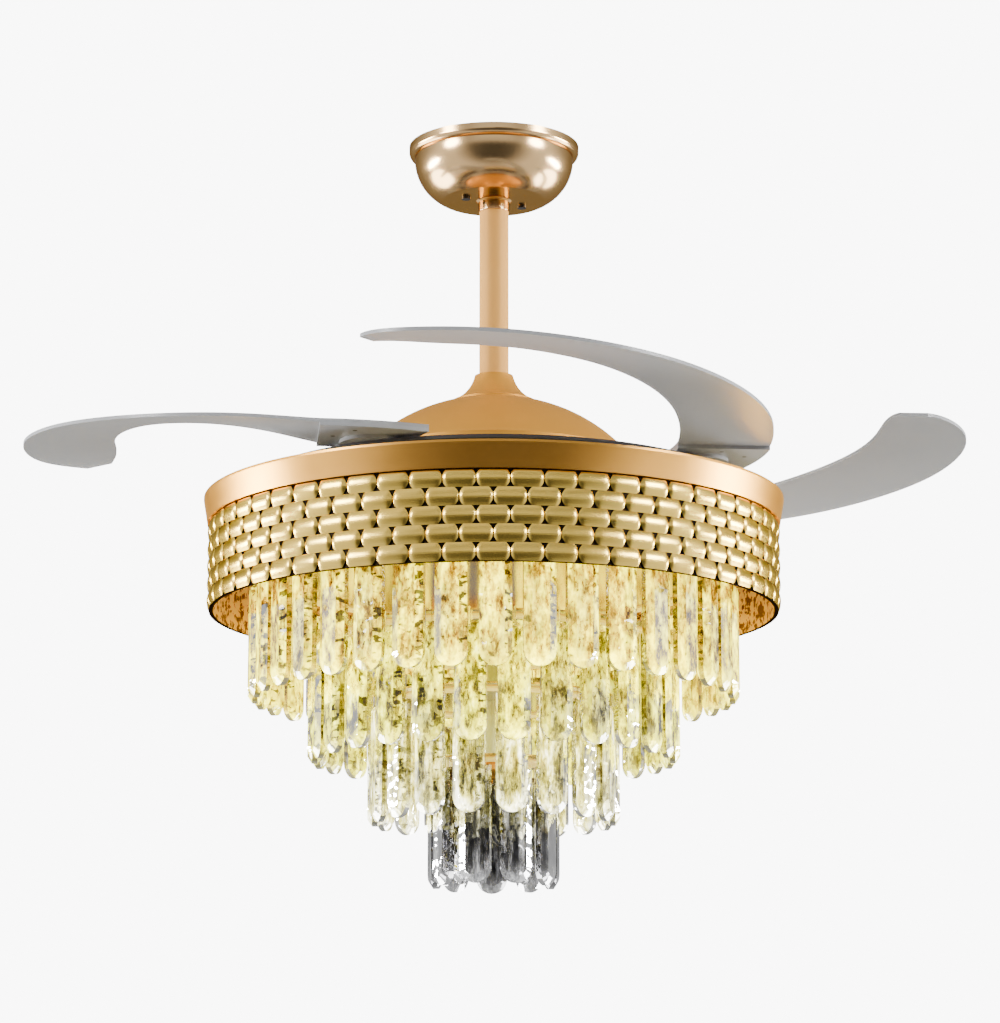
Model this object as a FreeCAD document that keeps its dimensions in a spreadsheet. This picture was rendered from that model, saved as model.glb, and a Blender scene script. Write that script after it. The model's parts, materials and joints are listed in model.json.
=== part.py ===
"""Chandelier ceiling fan with four folding crescent blades and four tiers of hanging crystal bars.

The origin is on the ceiling, at the centre of the canopy, with +Z up. The blades are drawn folded,
concentric with the drum, and then turned out about their pivots to the running position.
"""

import FreeCAD, Part
import os
import re
import Sketcher
from FreeCAD import Placement, Rotation, Vector

# Driving sizes in millimetres and degrees. A drop is a distance below the ceiling.
SIZES = {
    # ceiling bracket, canopy and remote receiver
    "bracket_reach": 58,
    "bracket_leg_reach": 36,
    "bracket_width": 44,
    "bracket_sheet": 2.5,
    "bracket_gap": 9,
    "bracket_bolt_reach": 47,
    "bracket_bolt_radius": 3.25,
    "canopy_radius": 76,
    "canopy_lip_height": 5,
    "canopy_neck_radius": 71,
    "canopy_neck_drop": 12,
    "canopy_drop": 50,
    "canopy_floor_radius": 46,
    "canopy_bowl_curve": 42,
    "canopy_wall": 1.2,
    "canopy_hole_radius": 16,
    "canopy_screw_circle": 28.5,
    "canopy_screw_angle": 29,
    "canopy_screw_radius": 2,
    "canopy_screw_head_radius": 4,
    "canopy_screw_head_height": 2.2,
    "receiver_depth": 24,
    "receiver_height": 22,
    "receiver_drop": 8,
    # hanger ball, downrod and collar
    "ball_radius": 21,
    "ball_rise": 15,
    "ball_clearance": 0.3,
    "ball_pin_radius": 2.5,
    "ball_pin_inset": 2,
    "rod_radius": 13,
    "rod_wall": 2,
    "rod_rise": 16,
    "collar_gap": 1.2,
    "collar_height": 9,
    "collar_radius": 14,
    "collar_round": 0.5,
    # coupling between rod and motor shaft, with its two covers
    "coupling_radius": 17,
    "coupling_top_drop": 222,
    "coupling_socket_depth": 24,
    "coupling_bolt_inset": 8,
    "coupling_bolt_radius": 3,
    "coupling_bolt_reach": 20,
    "coupling_bolt_head_radius": 5,
    "coupling_bolt_head_height": 3,
    "coupling_flange_radius": 34,
    "coupling_flange_height": 4,
    "coupling_boss_height": 19,
    "bell_height": 26.5,
    "bell_top_radius": 17,
    "bell_foot_radius": 38,
    "bell_curve": 34,
    "bell_foot_height": 2.5,
    "bell_wall": 1.5,
    "bell_clearance": 0.3,
    "dome_gap": 15.5,
    "dome_neck_radius": 40,
    "dome_radius": 122,
    "dome_height": 50.5,
    "dome_curve": 150,
    "dome_lip_height": 5,
    "dome_wall": 1.5,
    "vent_count": 6,
    "vent_radius": 1.75,
    "vent_circle": 46,
    "vent_turn": 11,
    "cover_screw_count": 3,
    "cover_screw_circle": 26,
    "cover_screw_radius": 2,
    "cover_screw_head_radius": 3.6,
    "cover_screw_head_height": 2,
    # motor
    "shaft_radius": 10,
    "shaft_bore": 6,
    "shaft_stub": 7,
    "running_clearance": 0.05,
    "housing_radius": 76,
    "housing_gap": 28.5,
    "housing_wall": 3,
    "bearing_radius": 21,
    "bearing_height": 10,
    "bearing_hub_radius": 27,
    "pole_count": 12,
    "stator_hub_radius": 28,
    "stator_radius": 58,
    "stator_shoe_depth": 4,
    "stator_shoe_width": 24,
    "stator_tooth_width": 10,
    "stator_height": 18,
    "stator_gap": 15,
    "winding_depth": 4,
    "winding_length": 18,
    "winding_clearance": 0.2,
    "magnet_depth": 10,
    "magnet_height": 22,
    "magnet_sweep": 26,
    # rotating carrier, pivots and the ring gear that keeps the blades in step
    "housing_height": 47,
    "carrier_sheet": 3,
    "carrier_rim": 15,
    "carrier_bore": 14,
    "rotor_screw_count": 6,
    "rotor_screw_circle": 60,
    "rotor_screw_radius": 2.5,
    "rotor_screw_head_radius": 4.5,
    "rotor_screw_head_height": 2.5,
    "rotor_screw_length": 6,
    "blade_count": 4,
    "pivot_turn": 30.4,
    "pivot_radius": 5,
    "pivot_head_radius": 9,
    "pivot_head_height": 3,
    "stack_clearance": 0.3,
    "gear_module": 4,
    "gear_height": 3,
    "ring_teeth": 84,
    "sector_teeth": 16,
    "ring_run_teeth": 7,
    "sector_run_teeth": 7,
    "gear_backlash": 0.9,
    "gear_window_inner": 92,
    "gear_window_outer": 148,
    "gear_window_sweep": 62,
    # blades
    "bracket_plate": 3,
    "blade_arc_radius": 212,
    "blade_width": 78,
    "blade_sheet": 3,
    "blade_sweep": 130.5,
    "blade_heel": 8,
    "blade_root_sweep": 13.05,
    "blade_rise": 36,
    "blade_pitch": 12,
    "blade_fold": 48.4,
    "blade_screw_radius": 2,
    "blade_screw_head_radius": 4,
    "blade_screw_head_height": 2,
    # drum
    "drum_radius": 246.5,
    "drum_wall": 1.2,
    "drum_height": 96.5,
    "pan_gap": 12.5,
    "pan_sheet": 1.5,
    "pan_flange": 16,
    "trim_rise": 2.5,
    "trim_height": 23,
    "trim_top_depth": 7.5,
    "trim_foot_depth": 4,
    "trim_lip": 2,
    "trim_wall": 1.5,
    "band_rows": 5,
    "band_crown": 3.6,
    "band_groove_depth": 1.4,
    "drum_screw_count": 8,
    "drum_screw_radius": 2,
    "drum_screw_length": 3,
    "drum_screw_recess": 0.4,
    "shaft_nut_radius": 18,
    "shaft_nut_height": 9,
    # tiers of crystals
    "tube_radius": 8,
    "tube_bore": 5,
    "tube_stub": 9,
    "spacer_radius": 11,
    "tier_total": 4,
    "tier_step": 53.3,
    "tier_drum_gap": 39.5,
    "last_tier_radius": 50.1,
    "plate_gap": 66,
    "plate_sheet": 1.5,
    "plate_reach": 5.5,
    "tier_count_step": 9,
    "tier_1_turn": 0.5,
    "tier_2_turn": -3.7,
    "tier_3_turn": -1.5,
    "tier_4_turn": 12,
    "crystal_width": 27,
    "crystal_depth": 13,
    "crystal_length": 100,
    "crystal_bevel_width": 7,
    "crystal_bevel_depth": 4,
    "crystal_gap": 9.5,
    "crystal_hole": 3,
    "crystal_hole_inset": 3.4,
    "link_wire": 1.2,
    "link_play": 0.3,
    "led_board_depth": 16,
    "led_board_inset": 12,
    "led_board_sheet": 1.6,
    "finial_radius": 14,
    "finial_height": 14,
    "driver_length": 96,
    "driver_width": 48,
    "driver_height": 22,
    "driver_place": 60,
    # how far a cutter reaches past what it cuts
    "overrun": 1,
}

# Blade stations from root to tip, as shares of the sweep, width, rise and pitch.
BLADE_STATION_SHARES = (
    (0.10, 1.00, 0.00, 0.00),
    (0.19, 1.00, 0.17, 0.40),
    (0.28, 1.01, 0.33, 0.72),
    (0.37, 1.03, 0.46, 0.92),
    (0.46, 1.05, 0.58, 1.00),
    (0.55, 1.06, 0.69, 1.00),
    (0.64, 1.06, 0.78, 0.95),
    (0.73, 1.04, 0.86, 0.86),
    (0.82, 1.00, 0.92, 0.75),
    (0.91, 0.86, 0.97, 0.60),
    (1.00, 0.32, 1.00, 0.22),
)
BLADE_SCREW_SHARES = ((0.45, 0.30), (0.75, 0.00), (0.45, -0.30))

# Sizes that follow from others, so that a piece keeps its place against its neighbours.
FOLLOWING = {
    "bracket_drop": "(canopy_drop - bracket_gap)",
    "ball_drop": "(bracket_drop - ball_rise)",
    "rod_top_drop": "(ball_drop - rod_rise)",
    "collar_drop": "(canopy_drop + collar_gap)",
    "coupling_bolt_drop": "(coupling_top_drop + coupling_bolt_inset)",
    "dome_top_drop": "(coupling_top_drop + dome_gap)",
    "bell_top_drop": "(dome_top_drop - bell_height)",
    "dome_rim_drop": "(dome_top_drop + dome_height)",
    "housing_top_drop": "(dome_top_drop + housing_gap)",
    "stator_drop": "(housing_top_drop + stator_gap)",
    "carrier_drop": "(housing_top_drop + housing_height)",
    "pivot_circle": "((ring_teeth + sector_teeth) * gear_module / 2)",
    "carrier_radius": "(pivot_circle + carrier_rim)",
    "pan_drop": "(carrier_drop + carrier_sheet + pan_gap)",
    "trim_drop": "(pan_drop - trim_rise)",
    "drum_drop": "(pan_drop + drum_height)",
    "shaft_end_drop": "(pan_drop + pan_sheet + shaft_nut_height + shaft_stub)",
    "tier_radius": "(drum_radius - tier_drum_gap)",
    "tier_inset": "((tier_radius - last_tier_radius) / (tier_total - 1))",
    "plate_drop": "(pan_drop + plate_gap)",
    "tube_end_drop": "(plate_drop + tier_step * (tier_total - 1) + plate_sheet + tube_stub)",
}

doc = FreeCAD.newDocument("ChandelierFan")
sheet = doc.addObject("Spreadsheet::Sheet", "Sizes")
for row, (alias, number) in enumerate(SIZES.items(), start=1):
    sheet.set(f"A{row}", alias)
    sheet.set(f"B{row}", str(number))
    sheet.setAlias(f"B{row}", alias)
doc.recompute()

ALIASES = re.compile(r"\b(" + "|".join(SIZES) + r")\b")
FOLLOWERS = re.compile(r"\b(" + "|".join(FOLLOWING) + r")\b")


def spelled_out(expression):
    """The expression with each following size replaced by what it follows from."""
    while FOLLOWERS.search(expression):
        expression = FOLLOWERS.sub(lambda found: FOLLOWING[found.group()], expression)
    return expression


def linked(expression):
    """The expression with each size spelled as a cell of the sheet."""
    return ALIASES.sub(r"Sizes.\1", spelled_out(expression))


def value(expression):
    """The number that an expression of sizes comes to."""
    return float(sheet.evalExpression(spelled_out(expression)))


def bind(thing, prop, expression):
    """Tie a property of an object to the sheet."""
    thing.setExpression(prop, linked(expression))


def new_body(node):
    """An empty body whose label names its file."""
    made = doc.addObject("PartDesign::Body", node)
    made.Label = node
    made.AllowCompound = True
    return made


def datum(body, role):
    """One of the body's own origin planes or axes."""
    return next(item for item in body.Origin.OriginFeatures if item.Role == role)


def sketch_on(body, role, lift=None, turn=None):
    """A sketch on an origin plane, lifted along its normal or turned clockwise about the vertical."""
    made = body.newObject("Sketcher::SketchObject", body.Name + "_sketch")
    made.AttachmentSupport = [(datum(body, role), "")]
    made.MapMode = "FlatFace"
    if turn:
        made.AttachmentOffset = Placement(Vector(), Rotation(Vector(0, -1, 0), value(turn)))
        bind(made, "AttachmentOffset.Rotation.Angle", turn)
    if lift:
        bind(made, "AttachmentOffset.Base.z", lift)
    return made


def pin_point(made, edge, end, place, spot):
    """Hold one end of an edge at a place given as two expressions."""
    for kind, number, expression in zip(("DistanceX", "DistanceY"), spot, place):
        index = made.addConstraint(Sketcher.Constraint(kind, -1, 1, edge, end, number))
        bind(made, f"Constraints[{index}]", expression)


def outline(made, corners):
    """A closed outline. A corner is two expressions, with a third for the radius of an arc that starts there.

    A positive radius turns left from the corner to the next one, and a negative radius turns right.
    """
    spots = [Vector(value(corner[0]), value(corner[1]), 0) for corner in corners]
    edges = []
    for index, corner in enumerate(corners):
        start = spots[index]
        stop = spots[(index + 1) % len(spots)]
        if len(corner) == 2:
            edges.append((made.addGeometry(Part.LineSegment(start, stop)), 1, 2))
            continue
        radius = value(corner[2])
        along = stop - start
        left = Vector(-along.y, along.x, 0).normalize()
        reach = (radius**2 - along.Length**2 / 4) ** 0.5
        centre = (start + stop) / 2 + left * (reach if radius > 0 else -reach)
        side = 1 if radius > 0 else -1
        through = centre - left * side * abs(radius)
        first, last = (start, stop) if radius > 0 else (stop, start)
        arc = made.addGeometry(Part.Arc(first, through, last))
        edges.append((arc, 1, 2) if radius > 0 else (arc, 2, 1))
        bent = made.addConstraint(Sketcher.Constraint("Radius", arc, abs(radius)))
        bind(made, f"Constraints[{bent}]", corner[2] if radius > 0 else f"-({corner[2]})")
    for index, (edge, start_end, stop_end) in enumerate(edges):
        following = edges[(index + 1) % len(edges)]
        made.addConstraint(Sketcher.Constraint("Coincident", edge, stop_end, following[0], following[1]))
    for (edge, start_end, stop_end), corner, spot in zip(edges, corners, spots):
        pin_point(made, edge, start_end, corner[:2], (spot.x, spot.y))


def box_outline(made, left, right, low, high):
    """A rectangle between two pairs of expressions."""
    outline(made, ((left, low), (right, low), (right, high), (left, high)))


def circle(made, across, up, radius):
    """A circle whose centre and radius are expressions."""
    spot = Vector(value(across), value(up), 0)
    edge = made.addGeometry(Part.Circle(spot, Vector(0, 0, 1), value(radius)))
    index = made.addConstraint(Sketcher.Constraint("Radius", edge, value(radius)))
    bind(made, f"Constraints[{index}]", radius)
    pin_point(made, edge, 3, (across, up), (spot.x, spot.y))


def pad(body, made, height, down=False, both=False):
    """Raise a sketch by a height, downwards or to both sides if asked."""
    feature = body.newObject("PartDesign::Pad", body.Name + "_pad")
    feature.Profile = made
    feature.Midplane = both
    feature.Reversed = down
    bind(feature, "Length", height)
    return feature


def cut(body, made, reach):
    """Cut a sketch right through, to both sides of its plane, and check that it removed something."""
    doc.recompute()
    before = body.Shape.Volume
    feature = body.newObject("PartDesign::Pocket", body.Name + "_pocket")
    feature.Profile = made
    feature.Midplane = True
    bind(feature, "Length", reach)
    doc.recompute()
    if body.Shape.Volume >= before:
        raise RuntimeError("a pocket of " + body.Label + " cuts nothing")
    return feature


def revolve(body, made, sweep=None):
    """Turn a sketch about the vertical axis, all the way round unless a sweep is given."""
    feature = body.newObject("PartDesign::Revolution", body.Name + "_revolution")
    feature.Profile = made
    feature.ReferenceAxis = (made, ["V_Axis"])
    feature.Angle = 360
    if sweep:
        bind(feature, "Angle", sweep)
    return feature


def repeat(body, count, features=None, sweep=None):
    """Repeat the whole body, or some of its features, evenly about the vertical axis."""
    doc.recompute()
    pattern = body.newObject("PartDesign::PolarPattern", body.Name + "_pattern")
    pattern.Axis = (datum(body, "Z_Axis"), [""])
    pattern.TransformMode = "Features" if features else "Whole shape"
    if features:
        pattern.Originals = features
    pattern.Angle = 360
    if sweep:
        bind(pattern, "Angle", sweep)
    bind(pattern, "Occurrences", count)
    body.Tip = pattern
    return pattern


def lathe(node, *profiles):
    """A turned piece from one profile, or several separate ones, given as radius and height."""
    body = new_body(node)
    made = sketch_on(body, "XZ_Plane")
    for profile in profiles:
        outline(made, profile)
    revolve(body, made)
    return body


def tube_profile(inner, outer, low, high):
    """The section of a plain tube."""
    return ((inner, low), (outer, low), (outer, high), (inner, high))


def screw_group(node, places, head_low, head_radius, head_height, radius, length, upward):
    """Screws that stand along Z, with their shanks running up or down from the heads."""
    body = new_body(node)
    heads = sketch_on(body, "XY_Plane", lift=head_low)
    shanks = sketch_on(body, "XY_Plane", lift=f"{head_low} + {head_height}" if upward else head_low)
    for across, up in places:
        circle(heads, across, up, head_radius)
        circle(shanks, across, up, radius)
    pad(body, heads, head_height)
    pad(body, shanks, length, down=not upward)
    return body


def ring_places(count, circle_radius, turn="0"):
    """Evenly spaced places on a circle, as expressions."""
    total = int(value(count))
    angles = [f"({turn} + 360 * {index} / {count})" for index in range(total)]
    return [(f"{circle_radius} * cos({angle})", f"{circle_radius} * sin({angle})") for angle in angles]


# Ceiling bracket, canopy and receiver


def make_bracket():
    """A hat-shaped hanger strap with a cup for the ball, two ceiling holes and two canopy holes."""
    body = new_body("ceiling_bracket")
    strap = sketch_on(body, "XZ_Plane")
    inner = "(bracket_leg_reach - bracket_sheet)"
    floor = "-bracket_drop + bracket_sheet"
    outline(
        strap,
        (
            ("-bracket_reach", "0"),
            ("-bracket_reach", "-bracket_sheet"),
            ("-bracket_leg_reach", "-bracket_sheet"),
            ("-bracket_leg_reach", "-bracket_drop"),
            ("bracket_leg_reach", "-bracket_drop"),
            ("bracket_leg_reach", "-bracket_sheet"),
            ("bracket_reach", "-bracket_sheet"),
            ("bracket_reach", "0"),
            (inner, "0"),
            (inner, floor),
            ("-" + inner, floor),
            ("-" + inner, "0"),
        ),
    )
    pad(body, strap, "bracket_width", both=True)
    ceiling_holes = sketch_on(body, "XY_Plane")
    for side in ("-", ""):
        circle(ceiling_holes, side + "bracket_bolt_reach", "0", "bracket_bolt_radius")
    cut(body, ceiling_holes, "bracket_sheet * 2 + overrun")
    canopy_holes = sketch_on(body, "XY_Plane", lift="-bracket_drop")
    for across, up in ring_places("2", "canopy_screw_circle", "canopy_screw_angle"):
        circle(canopy_holes, across, up, "canopy_screw_radius")
    cut(body, canopy_holes, "bracket_sheet * 2 + overrun")
    cup = sketch_on(body, "XZ_Plane")
    cup_radius = "(ball_radius + ball_clearance)"
    outline(cup, (("0", f"-ball_drop - {cup_radius}", cup_radius), (cup_radius, "-ball_drop"), ("0", "-ball_drop")))
    groove = body.newObject("PartDesign::Groove", "cup_groove")
    groove.Profile = cup
    groove.ReferenceAxis = (cup, ["V_Axis"])
    groove.Angle = 360


def make_canopy():
    """A spun bowl with a rolled lip, a necked band and a flat floor with a hole for the rod."""
    wall = "canopy_wall"
    lip = "canopy_lip_height"
    roll = "(canopy_radius - canopy_neck_radius)"
    body = lathe(
        "canopy",
        (
            ("canopy_radius", "0"),
            (f"canopy_radius - {wall}", "0"),
            (f"canopy_radius - {wall}", f"-{lip} + {wall} / 2", f"-{roll}"),
            (f"canopy_neck_radius - {wall}", f"-{lip} - {roll} + {wall}"),
            (f"canopy_neck_radius - {wall}", "-canopy_neck_drop", f"-canopy_bowl_curve + {wall}"),
            ("canopy_floor_radius", f"-canopy_drop + {wall}"),
            ("canopy_hole_radius", f"-canopy_drop + {wall}"),
            ("canopy_hole_radius", "-canopy_drop"),
            ("canopy_floor_radius", "-canopy_drop", "canopy_bowl_curve"),
            ("canopy_neck_radius", "-canopy_neck_drop"),
            ("canopy_neck_radius", f"-{lip} - {roll}", roll),
            ("canopy_radius", f"-{lip}"),
        ),
    )
    holes = sketch_on(body, "XY_Plane", lift="-canopy_drop")
    for across, up in ring_places("2", "canopy_screw_circle", "canopy_screw_angle"):
        circle(holes, across, up, "canopy_screw_radius")
    cut(body, holes, f"{wall} * 2 + overrun")


def make_receiver():
    """The remote control receiver, held against the side of the bracket's legs."""
    body = new_body("receiver_box")
    face = sketch_on(body, "XY_Plane", lift="-receiver_drop")
    side = "bracket_width / 2"
    box_outline(face, "-bracket_leg_reach", "bracket_leg_reach", side, f"{side} + receiver_depth")
    pad(body, face, "receiver_height", down=True)


def make_ceiling_end():
    make_bracket()
    make_canopy()
    make_receiver()
    screw_group(
        "canopy_screws",
        ring_places("2", "canopy_screw_circle", "canopy_screw_angle"),
        "-canopy_drop - canopy_screw_head_height",
        "canopy_screw_head_radius",
        "canopy_screw_head_height",
        "canopy_screw_radius",
        "canopy_drop - bracket_drop + bracket_sheet",
        upward=True,
    )


# Hanger ball, rod, coupling and covers


def cross_pin(node, radius, reach, drop):
    """A pin along X through the rod."""
    body = new_body(node)
    end = sketch_on(body, "YZ_Plane")
    circle(end, "0", f"-{drop}", radius)
    pad(body, end, f"({reach}) * 2", both=True)
    return body


def cross_hole(body, radius, reach, drop):
    """A hole along X for such a pin."""
    end = sketch_on(body, "YZ_Plane")
    circle(end, "0", f"-{drop}", radius)
    cut(body, end, f"({reach}) * 2 + overrun")


def make_rod():
    """The downrod, its hanger ball and pin, and the collar under the canopy."""
    rod_end = "(coupling_top_drop + coupling_socket_depth)"
    rod = lathe("downrod", tube_profile("rod_radius - rod_wall", "rod_radius", f"-{rod_end}", "-rod_top_drop"))
    cross_hole(rod, "ball_pin_radius", "rod_radius", "ball_drop")
    cross_hole(rod, "coupling_bolt_radius", "rod_radius", "coupling_bolt_drop")
    shoulder = "sqrt(ball_radius * ball_radius - rod_radius * rod_radius)"
    ball = lathe(
        "hanger_ball",
        (
            ("rod_radius", f"-ball_drop - {shoulder}", "ball_radius"),
            ("rod_radius", f"-ball_drop + {shoulder}"),
        ),
    )
    cross_hole(ball, "ball_pin_radius", "ball_radius", "ball_drop")
    cross_pin("ball_cross_pin", "ball_pin_radius", "ball_radius - ball_pin_inset", "ball_drop")
    lathe(
        "rod_collar",
        (
            ("rod_radius", "-collar_drop - collar_height"),
            ("collar_radius - collar_round", "-collar_drop - collar_height", "collar_round"),
            ("collar_radius", "-collar_drop - collar_height + collar_round"),
            ("collar_radius", "-collar_drop - collar_round", "collar_round"),
            ("collar_radius - collar_round", "-collar_drop"),
            ("rod_radius", "-collar_drop"),
        ),
    )


def make_coupling():
    """The coupling that takes the rod above and the motor shaft below, with its cross bolt."""
    seat = "-coupling_top_drop - coupling_socket_depth"
    web = "-dome_top_drop - dome_wall"
    foot = f"{web} - coupling_flange_height - coupling_boss_height"
    body = lathe(
        "coupling",
        (
            ("rod_radius", "-coupling_top_drop"),
            ("rod_radius", seat),
            ("shaft_radius", seat),
            ("shaft_radius", foot),
            ("coupling_radius", foot),
            ("coupling_radius", f"{web} - coupling_flange_height"),
            ("coupling_flange_radius", f"{web} - coupling_flange_height"),
            ("coupling_flange_radius", web),
            ("coupling_radius", web),
            ("coupling_radius", "-coupling_top_drop"),
        ),
    )
    cross_hole(body, "coupling_bolt_radius", "coupling_radius", "coupling_bolt_drop")
    holes = sketch_on(body, "XY_Plane", lift=web)
    for across, up in ring_places("cover_screw_count", "cover_screw_circle"):
        circle(holes, across, up, "cover_screw_radius")
    cut(body, holes, "coupling_flange_height * 2 + overrun")
    bolt = cross_pin("coupling_bolt", "coupling_bolt_radius", "coupling_bolt_reach", "coupling_bolt_drop")
    for side in ("", "-"):
        head = sketch_on(bolt, "YZ_Plane", lift=side + "coupling_radius")
        circle(head, "0", "-coupling_bolt_drop", "coupling_bolt_head_radius")
        pad(bolt, head, "coupling_bolt_head_height", down=side == "-")


def make_covers():
    """The bell over the coupling and the dome over the motor."""
    rise = "-dome_top_drop"
    lathe(
        "coupling_cover",
        (
            ("rod_radius + bell_clearance", "-bell_top_drop"),
            ("rod_radius + bell_clearance", "-bell_top_drop - bell_wall"),
            ("bell_top_radius - bell_wall / 2", "-bell_top_drop - bell_wall", "bell_curve + bell_wall"),
            ("bell_foot_radius - bell_wall", f"{rise} + bell_foot_height - bell_wall / 2"),
            ("bell_foot_radius - bell_wall", rise),
            ("bell_foot_radius", rise),
            ("bell_foot_radius", f"{rise} + bell_foot_height", "-bell_curve"),
            ("bell_top_radius", "-bell_top_drop"),
        ),
    )
    dome = lathe(
        "motor_cover",
        (
            ("coupling_radius + bell_clearance", rise),
            ("coupling_radius + bell_clearance", f"{rise} - dome_wall"),
            ("dome_neck_radius - dome_wall / 2", f"{rise} - dome_wall", "-dome_curve + dome_wall"),
            ("dome_radius - dome_wall", "-dome_rim_drop - dome_wall / 2"),
            ("dome_radius - dome_wall", "-dome_rim_drop - dome_lip_height"),
            ("dome_radius", "-dome_rim_drop - dome_lip_height"),
            ("dome_radius", "-dome_rim_drop", "dome_curve"),
            ("dome_neck_radius", rise),
        ),
    )
    vents = sketch_on(dome, "XY_Plane", lift=rise)
    for across, up in ring_places("vent_count", "vent_circle", "vent_turn"):
        circle(vents, across, up, "vent_radius")
    cut(dome, vents, "dome_radius - dome_neck_radius")
    holes = sketch_on(dome, "XY_Plane", lift=rise)
    for across, up in ring_places("cover_screw_count", "cover_screw_circle"):
        circle(holes, across, up, "cover_screw_radius")
    cut(dome, holes, "dome_wall * 2 + overrun")
    screw_group(
        "cover_screws",
        ring_places("cover_screw_count", "cover_screw_circle"),
        rise,
        "cover_screw_head_radius",
        "cover_screw_head_height",
        "cover_screw_radius",
        "dome_wall + coupling_flange_height",
        upward=False,
    )


# Motor


def make_stator():
    """The fixed shaft, the toothed core pressed on it and a coil on each tooth."""
    top = "-coupling_top_drop - coupling_socket_depth"
    lathe("motor_shaft", tube_profile("shaft_bore", "shaft_radius", "-shaft_end_drop", top))
    core = new_body("stator_core")
    hub = sketch_on(core, "XY_Plane", lift="-stator_drop")
    circle(hub, "0", "0", "stator_hub_radius")
    circle(hub, "0", "0", "shaft_radius")
    pad(core, hub, "stator_height", down=True)
    tooth = sketch_on(core, "XY_Plane", lift="-stator_drop")
    root = "stator_hub_radius - overrun"
    neck = "stator_radius - stator_shoe_depth"
    half = "stator_tooth_width / 2"
    shoe = "stator_shoe_width / 2"
    outline(
        tooth,
        (
            (root, f"-{half}"),
            (neck, f"-{half}"),
            (neck, f"-{shoe}"),
            (f"sqrt(stator_radius ^ 2 - ({shoe}) ^ 2)", f"-{shoe}", "stator_radius"),
            (f"sqrt(stator_radius ^ 2 - ({shoe}) ^ 2)", shoe),
            (neck, shoe),
            (neck, half),
            (root, half),
        ),
    )
    repeat(core, "pole_count", [pad(core, tooth, "stator_height", down=True)])
    coils = new_body("windings")
    wide = f"({half} + winding_clearance)"
    tall = "(stator_height / 2 + winding_clearance)"
    middle = "(-stator_drop - stator_height / 2)"
    loop = sketch_on(coils, "YZ_Plane", lift=f"{neck} - winding_clearance")
    for grow in ("0", "winding_depth"):
        box_outline(
            loop, f"-{wide} - {grow}", f"{wide} + {grow}", f"{middle} - {tall} - {grow}", f"{middle} + {tall} + {grow}"
        )
    pad(coils, loop, "winding_length", down=True)
    repeat(coils, "pole_count")


def make_rotor():
    """The can that turns round the stator, with its bearings and magnets."""
    top = "-housing_top_drop"
    foot = "-carrier_drop"
    can = lathe(
        "rotor_housing",
        (
            ("bearing_radius", top),
            ("housing_radius", top),
            ("housing_radius", foot),
            ("bearing_radius", foot),
            ("bearing_radius", f"{foot} + bearing_height"),
            ("bearing_hub_radius", f"{foot} + bearing_height"),
            ("bearing_hub_radius", f"{foot} + housing_wall"),
            ("housing_radius - housing_wall", f"{foot} + housing_wall"),
            ("housing_radius - housing_wall", f"{top} - housing_wall"),
            ("bearing_hub_radius", f"{top} - housing_wall"),
            ("bearing_hub_radius", f"{top} - bearing_height"),
            ("bearing_radius", f"{top} - bearing_height"),
        ),
    )
    holes = sketch_on(can, "XY_Plane", lift=foot)
    for across, up in ring_places("rotor_screw_count", "rotor_screw_circle"):
        circle(holes, across, up, "rotor_screw_radius")
    cut(can, holes, "housing_wall * 2 + overrun")
    bore = "shaft_radius + running_clearance"
    lathe("upper_bearing", tube_profile(bore, "bearing_radius", f"{top} - bearing_height", top))
    lathe("lower_bearing", tube_profile(bore, "bearing_radius", foot, f"{foot} + bearing_height"))
    magnets = new_body("magnets")
    bar = sketch_on(magnets, "XZ_Plane")
    outer = "housing_radius - housing_wall"
    middle = "(-stator_drop - stator_height / 2)"
    low, high = f"{middle} - magnet_height / 2", f"{middle} + magnet_height / 2"
    box_outline(bar, f"{outer} - magnet_depth", outer, low, high)
    revolve(magnets, bar, "magnet_sweep")
    repeat(magnets, "pole_count")


# Carrier, ring gear and blades

CARRIER_FOOT = "(-carrier_drop - carrier_sheet)"
GEAR_FOOT = "(-carrier_drop + stack_clearance)"
PLATE_FOOT = f"({GEAR_FOOT} + gear_height)"
BLADE_FOOT = f"({PLATE_FOOT} + bracket_plate)"
BLADE_TOP = f"({BLADE_FOOT} + blade_sheet)"
ADDENDUM_SHARE = 0.85
DEDENDUM_SHARE = 1.2
FLANK_SHARE = 0.364


def make_carrier():
    """The dark disc that turns with the motor and carries the blade pivots."""
    disc = lathe("carrier_disc", tube_profile("carrier_bore", "carrier_radius", CARRIER_FOOT, "-carrier_drop"))
    pivots = sketch_on(disc, "XY_Plane", lift=CARRIER_FOOT)
    places = ring_places("blade_count", "pivot_circle", "-pivot_turn")
    for across, up in places:
        circle(pivots, across, up, "pivot_radius")
    for across, up in ring_places("rotor_screw_count", "rotor_screw_circle"):
        circle(pivots, across, up, "rotor_screw_radius")
    cut(disc, pivots, "carrier_sheet * 2 + overrun")
    screw_group(
        "pivot_pins",
        places,
        f"{BLADE_TOP} + stack_clearance",
        "pivot_head_radius",
        "pivot_head_height",
        "pivot_radius",
        f"{BLADE_TOP} + stack_clearance - {CARRIER_FOOT}",
        upward=False,
    )
    screw_group(
        "rotor_screws",
        ring_places("rotor_screw_count", "rotor_screw_circle"),
        f"{CARRIER_FOOT} - rotor_screw_head_height",
        "rotor_screw_head_radius",
        "rotor_screw_head_height",
        "rotor_screw_radius",
        "rotor_screw_length",
        upward=True,
    )


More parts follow.
